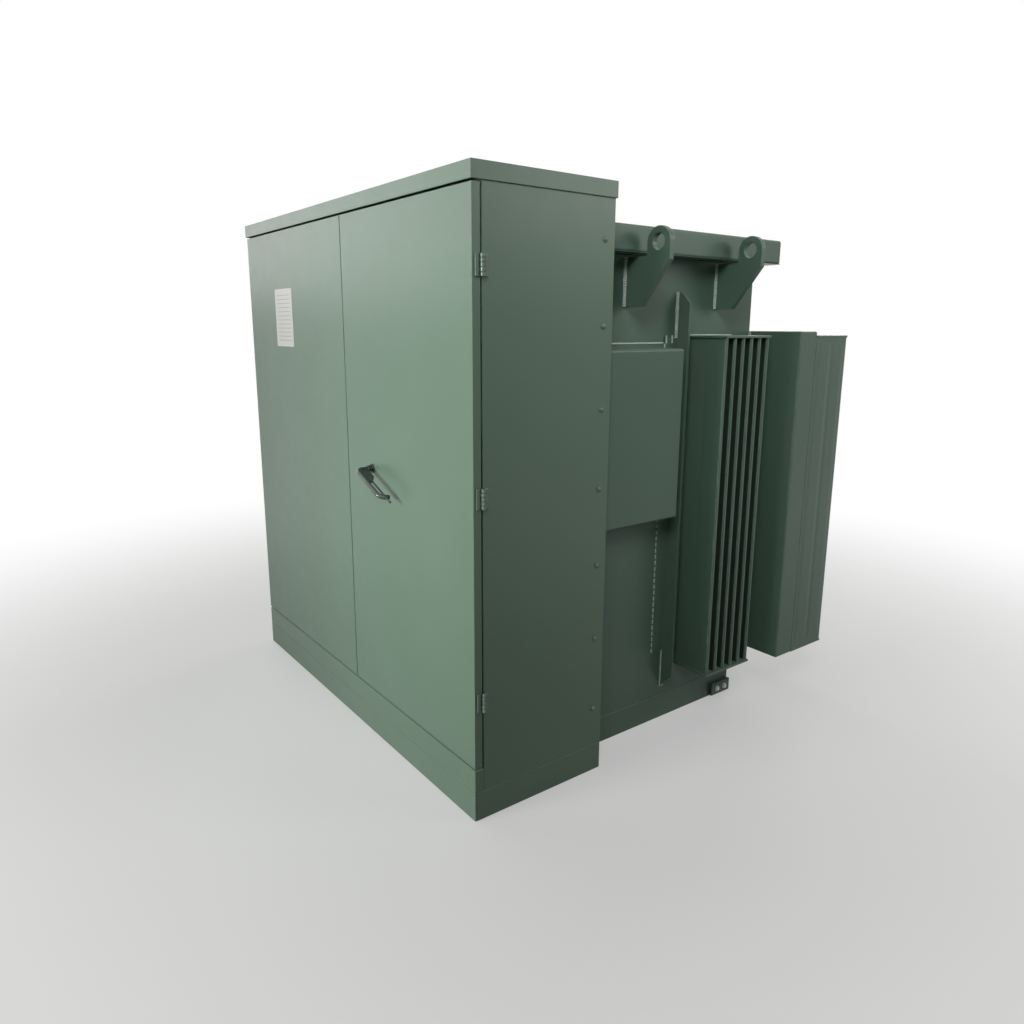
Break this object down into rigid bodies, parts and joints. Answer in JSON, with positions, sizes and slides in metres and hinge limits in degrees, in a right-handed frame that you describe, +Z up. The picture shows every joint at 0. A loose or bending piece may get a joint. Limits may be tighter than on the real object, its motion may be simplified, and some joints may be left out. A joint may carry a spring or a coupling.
{
  "type": "pad-mounted power transformer",
  "caption": "Pad-mounted three-phase power transformer: locked two-door terminal cabinet in front of a welded oil tank with finned coolers and lifting lugs.",
  "frame": {"origin": "on the ground under the middle of the part's box", "axes": "+Z up, the doors face -Y, +X to the right as seen from the doors"},
  "size_m": [1.952, 1.713, 1.9],
  "materials": {
    "cabinet_paint": "satin polyester powder coat, grey green",
    "tank_paint": "satin enamel on welded plate, grey green",
    "handle_paint": "gloss enamel on bent bar, dark green",
    "bare_steel": "bare stainless plate",
    "epoxy": "cast epoxy resin, brown",
    "tinned_copper": "tinned copper"
  },
  "bodies": {
    "enclosure": {"skirt_front": "cabinet_paint", "side_skirts": "cabinet_paint", "sill": "cabinet_paint", "left_side_panel": "cabinet_paint", "right_side_panel": "cabinet_paint", "door_header": "cabinet_paint", "roof_cap": "cabinet_paint", "mount_flanges": "cabinet_paint", "back_plate": "tank_paint", "barrier": "cabinet_paint", "base_side_rails": "tank_paint", "base_cross_rails": "tank_paint", "tank_floor": "tank_paint", "tank_left_wall": "tank_paint", "tank_right_wall": "tank_paint", "tank_rear_wall": "tank_paint", "tank_top": "tank_paint", "tank_cover": "tank_paint", "left_lifting_lugs": "tank_paint", "right_lifting_lugs": "tank_paint", "left_stiffener": "tank_paint", "right_stiffener": "tank_paint", "accessory_box": "tank_paint", "ground_pads": "tank_paint", "left_fins": "tank_paint", "left_fin_caps": "tank_paint", "right_fins": "tank_paint", "right_fin_caps": "tank_paint", "oil_box": "tank_paint", "rear_fins": "tank_paint", "rear_fin_caps": "tank_paint", "hv_bushings": "epoxy", "hv_studs": "tinned_copper", "lv_bushings": "epoxy", "lv_spades": "tinned_copper", "left_hinges": "cabinet_paint", "right_hinges": "cabinet_paint"},
    "left_door": {"left_door": "cabinet_paint", "left_door_leaves": "cabinet_paint"},
    "right_door": {"right_door": "cabinet_paint", "right_door_leaves": "cabinet_paint", "handle_plate": "handle_paint"},
    "handle": {"handle": "handle_paint", "lock_rod": "handle_paint", "latch_cam": "bare_steel"}
  },
  "joints": [
    {"name": "left_door_swing", "type": "hinge", "parent": "enclosure", "child": "left_door", "pos_m": [-0.8765, -0.761, 1], "axis": [0, 0, -1], "range_deg": [0, 120]},
    {"name": "right_door_swing", "type": "hinge", "parent": "enclosure", "child": "right_door", "pos_m": [0.8765, -0.761, 1], "axis": [0, 0, 1], "range_deg": [0, 120]},
    {"name": "handle_turn", "type": "hinge", "parent": "right_door", "child": "handle", "pos_m": [0.253, -0.7905, 1.008], "axis": [0, -1, 0], "range_deg": [0, 90]}
  ]
}
